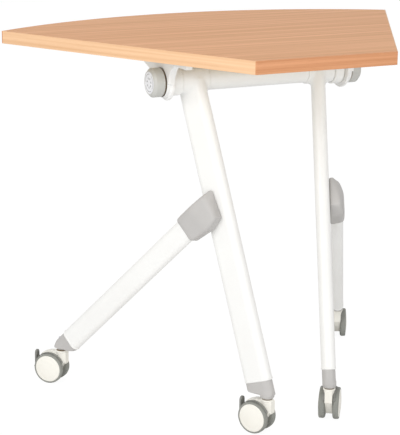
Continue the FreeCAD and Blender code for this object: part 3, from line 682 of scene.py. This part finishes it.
PALE_DISC = skin_material(
    "pale_disc", (0.86, 0.87, 0.90), (0.82, 0.83, 0.86), (0.2, 0.3), grain=1200,
)
print_marks(PALE_DISC)
CREAM_PLASTIC = skin_material(
    "cream_plastic", (0.93, 0.91, 0.84), (0.89, 0.865, 0.79), (0.3, 0.42), grain=1200,
)
TYRE_GREY = skin_material(
    "tyre_grey", (0.29, 0.295, 0.27), (0.24, 0.245, 0.22), (0.5, 0.65), grain=1800, strength=0.3,
)
PEDAL_GREY = skin_material(
    "pedal_grey", (0.27, 0.27, 0.252), (0.22, 0.22, 0.205), (0.42, 0.55), grain=1600, strength=0.25,
)
# Dark brown of the rings that paint the shade in the gaps at the knobs and under the caster bosses
SHADE_RING_BROWN = skin_material("shade_ring_brown", (0.22, 0.16, 0.10), (0.16, 0.115, 0.07), (0.4, 0.55))
BEARING_PLASTIC = skin_material("bearing_plastic", (0.76, 0.75, 0.71), (0.71, 0.70, 0.66), (0.4, 0.5))
ZINC_STEEL = skin_material(
    "zinc_steel", (0.58, 0.58, 0.60), (0.50, 0.50, 0.53), (0.28, 0.45), grain=1500, metallic=1,
)


# Top: panel as it is, bands with eased edges

def make_top():
    """Give the panel its laminate and ease the edges of its bands."""
    finish_node("tabletop_panel", BEECH_TOP)
    for node, material in BEECH_BANDS.items():
        band = eased(node, f"{node}_eased", BAND_EASE)
        dress(band, "top", "edge_band", [material], node)


def make_brackets():
    """Cast brackets with softened edges."""
    bracket = moulded(solid_copy("bracket_right", "bracket_right_cast"), CASTING_VOXEL, BRACKET_ROUNDS)
    dress_pair(bracket, "bracket", "cast", "top", "white_casting", WHITE_CASTING)


# Frame: legs that flow into their collars, covers and feet

def flat_oval(name, width, thickness, length):
    """A solid bar with flat sides and half-round edges, along its own Z from 0."""
    deselect()
    bpy.ops.mesh.primitive_cylinder_add(
        vertices=ROUND_STEPS, radius=thickness / 2, depth=length, location=(0, 0, length / 2),
    )
    obj = named(name)
    settle(obj)
    spread = (width - thickness) / 2
    for side in (1, -1):
        edit(obj, "VERT")
        select_where(obj, "VERT", lambda vertex: vertex.co.x * side > 1e-6)
        bpy.ops.transform.translate(value=(side * spread, 0, 0))
        leave_edit()
    return obj


def beam_rod(name, radius, x0, x1):
    """A solid rod on the beam's axis."""
    deselect()
    bpy.ops.mesh.primitive_cylinder_add(
        vertices=RING_STEPS, radius=radius, depth=x1 - x0, location=((x0 + x1) / 2, BEAM_Y, BEAM_Z),
        rotation=(0, math.pi / 2, 0),
    )
    obj = named(name)
    settle(obj)
    return obj


def make_main_legs():
    """Main legs that flow into the collars on the beam."""
    length, place = main_leg_axis()
    leg = flat_oval("main_leg_right_flow", MAIN_WIDTH, MAIN_THICKNESS, length)
    placed(leg, place)
    joined(leg, beam_rod("collar_core", COLLAR_RADIUS, COLLAR_IN, FLANGE_IN))
    moulded(leg, LEG_VOXEL, LEG_ROUNDS)

    def near_collar(point):
        """How much a point of the leg flows into the collar."""
        up = (point.z - BEAM_Z + BLEND_DROP) / BLEND_RISE
        inward = (point.x - COLLAR_IN) / BLEND_IN
        outward = (FLANGE_IN - point.x) / BLEND_OUT
        return min(up, inward, outward)

    soften(leg, COLLAR_FLOW_ROUNDS, near_collar)
    dress_pair(leg, "main_leg", "flow", "frame", "white_paint", WHITE_COAT)


def make_leg_lips():
    """Rolled lips at the lower ends of the tubes, above the feet."""
    tubes = {
        "main": (main_leg_axis()[1], MAIN_WIDTH, MAIN_THICKNESS),
        "branch": (branch_axis()[1], BRANCH_WIDTH, BRANCH_THICKNESS),
    }
    for name, (place, width, thickness) in tubes.items():
        lip = flat_oval(f"{name}_leg_right_lip", width + LIP_OVER, thickness + LIP_OVER, LIP_HEIGHT)
        round_edges(lip, LIP_BEVEL, 4)
        placed(lip, place)
        smooth_shade(lip, 50)
        twin = mirrored(lip, f"{name}_leg_left_lip")
        for piece in (lip, twin):
            dress(piece, "frame", "white_paint", [WHITE_COAT])


def make_collar_flanges():
    """Plain ends of the collars between the legs and the brackets, with rounded rims."""
    profile = ring_profile(FLANGE_IN, COLLAR_END, BEAM_RADIUS, FLANGE_RADIUS)
    flange = turned("leg_collar_right_flange", profile, RING_STEPS)
    round_edges(flange, FLANGE_BEVEL, 4)
    placed(flange, Matrix.Translation((0, BEAM_Y, BEAM_Z)))
    smooth_shade(flange)
    dress_pair(flange, "leg_collar", "flange", "frame", "white_paint", WHITE_COAT)


def make_joint_covers():
    """Soft covers round the roots of the branches, domed on the outer side."""
    joint, place = branch_axis()
    cover = solid_copy("joint_cover_right", "joint_cover_right_soft")
    socket = COVER_LENGTH + COVER_OVER - COVER_SLOPE
    width = BRANCH_WIDTH + FILLING_OVER
    filling = flat_oval("cover_filling", width, BRANCH_THICKNESS + FILLING_OVER, socket)
    placed(filling, place @ Matrix.Translation((0, 0, joint - COVER_LENGTH + FILLING_LIFT)))
    joined(cover, filling)
    moulded(cover, COVER_VOXEL, COVER_ROUNDS)
    to_branch = place.inverted()

    def near_outer_side(point):
        """How much a point of the cover is drawn into its dome."""
        return (COVER_SOFT_FROM - (to_branch @ point).y) / SOFT_BAND

    soften(cover, COVER_DOME_ROUNDS, near_outer_side)
    dress_pair(cover, "joint_cover", "soft", "frame", "grey_plastic", GREY_PLASTIC)


def make_end_caps():
    """Moulded feet on the ends of the legs, well rounded above the boss."""
    for node in ("main_end_cap", "branch_end_cap"):
        cap = solid_copy(f"{node}_right", f"{node}_right_moulded")
        moulded(cap, CASTING_VOXEL, CAP_ROUNDS)
        soften(cap, CAP_TOP_ROUNDS, lambda point: (point.z - BOSS_Z - CAP_SOFT_RISE) / SOFT_BAND)
        dress_pair(cap, node, "moulded", "frame", "grey_plastic", GREY_PLASTIC)


# Release knobs

def make_knobs():
    """Knobs with a bevelled rim and a shallow well for the disc."""
    profile = [
        (KNOB_IN, KNOB_BORE),
        (KNOB_IN, KNOB_RADIUS - KNOB_HEEL),
        (KNOB_IN + KNOB_HEEL, KNOB_RADIUS),
        (KNOB_OUT - KNOB_CHAMFER, KNOB_RADIUS),
        (KNOB_OUT, KNOB_RADIUS - KNOB_CHAMFER),
        (KNOB_OUT, KNOB_FACE_RADIUS),
        (KNOB_OUT - KNOB_WELL, KNOB_FACE_RADIUS),
        (KNOB_OUT - KNOB_WELL, KNOB_BORE),
        (KNOB_IN, KNOB_BORE),
    ]
    knob = turned("knob_right_turned", profile, RING_STEPS)
    round_edges(knob, KNOB_BEVEL, 3, 25)
    placed(knob, Matrix.Translation((0, BEAM_Y, BEAM_Z)))
    smooth_shade(knob)
    dress_pair(knob, "knob", "turned", "release", "grey_plastic", KNOB_PLASTIC)


def make_knob_gap_shades():
    """Thin dark rings between the brackets' hubs and the knobs: painted shade in the gap."""
    low = HUB_OUT + KNOB_SHADE_RING_GAP
    high = KNOB_IN - KNOB_SHADE_RING_GAP
    profile = ring_profile(low, high, KNOB_SHADE_RING_BORE, KNOB_RADIUS - KNOB_SHADE_RING_INSET)
    shade_ring = turned("knob_right_gap_shade", profile, RING_STEPS)
    round_edges(shade_ring, KNOB_SHADE_RING_BEVEL, 2)
    placed(shade_ring, Matrix.Translation((0, BEAM_Y, BEAM_Z)))
    smooth_shade(shade_ring)
    # These dark rings are painted shade in the gap between hub and knob.
    for piece in (shade_ring, mirrored(shade_ring, "knob_left_gap_shade")):
        dress(piece, "release", "bearing_plastic", [SHADE_RING_BROWN])


# Casters

def caster_place(end, side):
    """A caster's swivel axis on the floor and its turn, as a matrix."""
    u, outboard = SWIVELS[end]
    out = (outboard + (BEAM_Z - BOSS_Z) * math.sin(SPLAY)) / math.cos(SPLAY)
    x = SIDES[side] * (LEG_PLANE_X + u * math.sin(LEG_ANGLE) + out * math.cos(LEG_ANGLE))
    y = BEAM_Y + u * math.cos(LEG_ANGLE) - out * math.sin(LEG_ANGLE)
    turn = math.radians(CASTER_TURN[f"{end}_{side}"])
    return Matrix.Translation((x, y, 0)) @ Matrix.Rotation(turn, 4, "Z")


def wheel_form():
    """A wheel on the +X side of its axle: rounded tread, parting groove and domed disc with a faint ring."""
    inner = WHEEL_GAP / 2
    outer = inner + WHEEL_WIDTH
    profile = [(inner, WHEEL_BORE)]
    for inset, drop in TREAD_INNER:
        profile.append((inner + inset * MM, WHEEL_RADIUS - drop * MM))
    for inset, drop in TREAD_OUTER:
        profile.append((outer - inset * MM, WHEEL_RADIUS - drop * MM))
    profile.append((outer - GROOVE_DEPTH, WHEEL_FACE_RADIUS + GROOVE_WIDTH))
    profile.append((outer - GROOVE_DEPTH, WHEEL_FACE_RADIUS))
    profile.append((outer + DISC_RIM_RISE, WHEEL_FACE_RADIUS - DISC_RIM_IN))
    for share, dip in DISC_RINGS:
        rise = WHEEL_DOME * (1 - share * share)
        profile.append((outer + rise - dip * MM, WHEEL_FACE_RADIUS * share))
    wheel = turned("caster_wheel", profile, WHEEL_STEPS)
    wheel.data.materials.append(CREAM_PLASTIC)
    wheel.data.materials.append(TYRE_GREY)
    # Tyre grey goes on the tread and on the wheel's inner side. On the inner side it is partly painted
    # shade.
    for face in wheel.data.polygons:
        radius = math.hypot(face.center.y, face.center.z)
        if radius > WHEEL_FACE_RADIUS or face.center.x < inner + WHEEL_INNER_FACE:
            face.material_index = 1
    smooth_shade(wheel, 50)
    return wheel


def fender_form():
    """A dark guard that arches over the inner edge of a wheel."""
    inner = WHEEL_GAP / 2 + FENDER_GAP
    low = WHEEL_RADIUS + FENDER_GAP
    profile = ring_profile(inner, inner + FENDER_WIDTH, low, low + FENDER_THICKNESS)
    fender = turned("caster_fender", profile, FENDER_STEPS, FENDER_SPAN)
    round_edges(fender, FENDER_BEVEL, 3)
    smooth_shade(fender)
    return placed(fender, Matrix.Rotation(FENDER_TURN, 4, "X"))


def caster_piece(piece):
    """A copy of a caster's CAD piece, in the caster's own frame: swivel on Z, trail along +Y."""
    obj = solid_copy(f"{piece}_front_left", f"caster_{piece}")
    return placed(obj, caster_place("front", "left").inverted())


def hood_form():
    """A hood with a lowered front lip that flows from the round neck down between the wheels."""
    hood = caster_piece("hood")
    edit(hood, "VERT")
    select_where(hood, "VERT", lambda vertex: vertex.co.y < HOOD_LIP_Y and vertex.co.z < HOOD_LIP_Z)
    bpy.ops.transform.translate(value=(0, 0, -HOOD_LIP_DROP))
    leave_edit()
    deselect()
    bpy.ops.mesh.primitive_cone_add(
        vertices=ROUND_STEPS, radius1=WHEEL_GAP / 2 - HOOD_SIDE_GAP, radius2=NECK_RADIUS,
        depth=HOOD_TOP - NECK_LOW, location=(0, 0, (HOOD_TOP + NECK_LOW) / 2),
    )
    joined(hood, named("hood_neck"))
    return moulded(hood, HOOD_VOXEL, HOOD_ROUNDS)


def pedal_form():
    """A brake pedal with a rounded paddle and a toe that runs out to a point."""
    pedal = caster_piece("pedal")
    edit(pedal, "VERT")
    select_where(pedal, "VERT", lambda vertex: vertex.co.y > PEDAL_TOE_Y)
    bpy.ops.transform.resize(value=PEDAL_TOE_SHARES, center_override=(0, PEDAL_TOE_Y, PEDAL_TOE_Z))
    leave_edit()
    return moulded(pedal, PEDAL_VOXEL, PEDAL_ROUNDS)


def shade_ring_form():
    """A dark ring between the boss and the hood: painted shade in the gap."""
    low = HOOD_TOP + SHADE_RING_GAP
    high = BOSS_Z - SHADE_RING_GAP
    bore = STEM_RADIUS + SHADE_RING_CLEARANCE
    profile = [
        (-high, bore),
        (-high, SHADE_RING_TOP_RADIUS),
        (-low, SHADE_RING_LOW_RADIUS),
        (-low, bore),
        (-high, bore),
    ]
    shade_ring = turned("caster_shade_ring", profile, ROUND_STEPS)
    smooth_shade(shade_ring)
    return placed(shade_ring, Matrix.Rotation(math.pi / 2, 4, "Y"))


def make_casters():
    """Wheels, fenders, hoods, pedals and the dark rings of painted shade under the bosses, for the four
    casters.
    """
    wheel = wheel_form()
    fender = fender_form()
    hood = hood_form()
    pedal = pedal_form()
    shade_ring = shade_ring_form()
    axle = Matrix.Translation((0, TRAIL, WHEEL_RADIUS))
    across = Matrix.Scale(-1, 4, (1, 0, 0))
    for end in SWIVELS:
        for side in SIDES:
            label = f"{end}_{side}"
            place = caster_place(end, side)
            swivel = f"swivel_{label}"
            for letter, turn in (("a", Matrix.Identity(4)), ("b", across)):
                roller = copy_of(wheel, f"wheel_{letter}_{label}_turned")
                placed(roller, place @ axle @ turn)
                mend(roller)
                node = f"wheel_{letter}_{label}"
                dress(roller, f"roller_{letter}_{label}", "wheel_cream_and_grey", [], node)
                guard = copy_of(fender, f"fender_{letter}_{label}")
                placed(guard, place @ axle @ turn)
                mend(guard)
                dress(guard, swivel, "dark_grey_plastic", [PEDAL_GREY])
            shell = placed(copy_of(hood, f"hood_{label}_moulded"), place)
            dress(shell, swivel, "cream_plastic", [CREAM_PLASTIC], f"hood_{label}")
            lever = placed(copy_of(pedal, f"pedal_{label}_moulded"), place)
            dress(lever, f"brake_{label}", "dark_grey_plastic", [PEDAL_GREY], f"pedal_{label}")
            # The dark ring under the boss is painted shade in the gap.
            ring = placed(copy_of(shade_ring, f"washer_{label}"), place)
            dress(ring, "frame", "bearing_plastic", [SHADE_RING_BROWN])
    for form in (wheel, fender, hood, pedal, shade_ring):
        bpy.data.objects.remove(form)


def finish_kept_nodes():
    """Better materials on the CAD nodes that keep their own shape."""
    finish_node("beam_tube", WHITE_COAT)
    for node in ("bracket_screws", "return_spring", "release_shaft", "caster_stems"):
        finish_node(node, ZINC_STEEL)
    for side in SIDES:
        finish_node(f"branch_leg_{side}", WHITE_COAT)
        finish_node(f"knob_face_{side}", PALE_DISC)
        finish_node(f"pivot_bush_{side}", BEARING_PLASTIC)
        for name in ("lock_ring", "beam_plug", "crank", "lock_bolt"):
            finish_node(f"{name}_{side}", ZINC_STEEL)
        for end in SWIVELS:
            finish_node(f"axle_{end}_{side}", ZINC_STEEL)


# Studio: camera, floor and light

def make_camera():
    """A camera at the photograph's viewing angle."""
    data = bpy.data.cameras.new("photo_camera")
    camera = bpy.data.objects.new("photo_camera", data)
    bpy.context.collection.objects.link(camera)
    look = (CAMERA_TARGET - CAMERA_PLACE).to_track_quat("-Z", "Y")
    roll = Matrix.Rotation(CAMERA_ROLL, 4, "Z")
    camera.matrix_world = Matrix.Translation(CAMERA_PLACE) @ look.to_matrix().to_4x4() @ roll
    data.sensor_width = SENSOR_WIDTH
    data.lens = LENS
    bpy.context.scene.camera = camera


def camera_sees_white(tree, strength):
    """A strength that is 1 for what the camera and its reflections see, and another for light."""
    path = tree.nodes.new("ShaderNodeLightPath")
    seen = calculate(tree, "MAXIMUM", path.outputs["Is Camera Ray"], path.outputs["Is Glossy Ray"])
    seen = calculate(tree, "MAXIMUM", seen, path.outputs["Is Transmission Ray"])
    return ranged(tree, seen, 0, 1, strength, 1)


def make_studio():
    """A pale floor that keeps a faint shadow, a white surround and soft lamps."""
    scene = bpy.context.scene
    scene.view_settings.view_transform = "Standard"
    world = bpy.data.worlds.new("studio")
    world.use_nodes = True
    scene.world = world
    tree = world.node_tree
    background = tree.nodes["Background"]
    background.inputs["Color"].default_value = (1, 1, 1, 1)
    tree.links.new(camera_sees_white(tree, WORLD_LIGHT), background.inputs["Strength"])

    deselect()
    bpy.ops.mesh.primitive_plane_add(size=FLOOR_SIZE)
    floor = named("studio_floor")
    material = bpy.data.materials.new("studio_floor")
    material.use_nodes = True
    tree = material.node_tree
    tree.nodes.clear()
    matt = tree.nodes.new("ShaderNodeBsdfDiffuse")
    matt.inputs["Color"].default_value = FLOOR_TONE
    glow = tree.nodes.new("ShaderNodeEmission")
    glow.inputs["Strength"].default_value = FLOOR_GLOW
    path = tree.nodes.new("ShaderNodeLightPath")
    share = ranged(tree, path.outputs["Is Camera Ray"], 0, 1, 0, FLOOR_GLOW_SHARE)
    mix = tree.nodes.new("ShaderNodeMixShader")
    output = tree.nodes.new("ShaderNodeOutputMaterial")
    tree.links.new(share, mix.inputs["Fac"])
    tree.links.new(matt.outputs["BSDF"], mix.inputs[1])
    tree.links.new(glow.outputs["Emission"], mix.inputs[2])
    tree.links.new(mix.outputs["Shader"], output.inputs["Surface"])
    floor.data.materials.append(material)

    make_lamp("key_lamp", (-2.6, -1.6, 1.9), (0, -0.1, 0.5), KEY_POWER)
    make_lamp("front_lamp", (0.6, -3.4, 0.9), (0, 0, 0.5), FRONT_POWER)


def make_lamp(name, position, target, power):
    """A square soft box that looks at a point."""
    data = bpy.data.lights.new(name, "AREA")
    data.size = SOFT_BOX
    data.energy = power
    lamp = bpy.data.objects.new(name, data)
    bpy.context.collection.objects.link(lamp)
    lamp.location = position
    lamp.rotation_euler = (Vector(target) - Vector(position)).to_track_quat("-Z", "Y").to_euler()


make_camera()
make_top()
make_brackets()
make_main_legs()
make_leg_lips()
make_collar_flanges()
make_joint_covers()
make_end_caps()
make_knobs()
make_knob_gap_shades()
make_casters()
finish_kept_nodes()
make_studio()
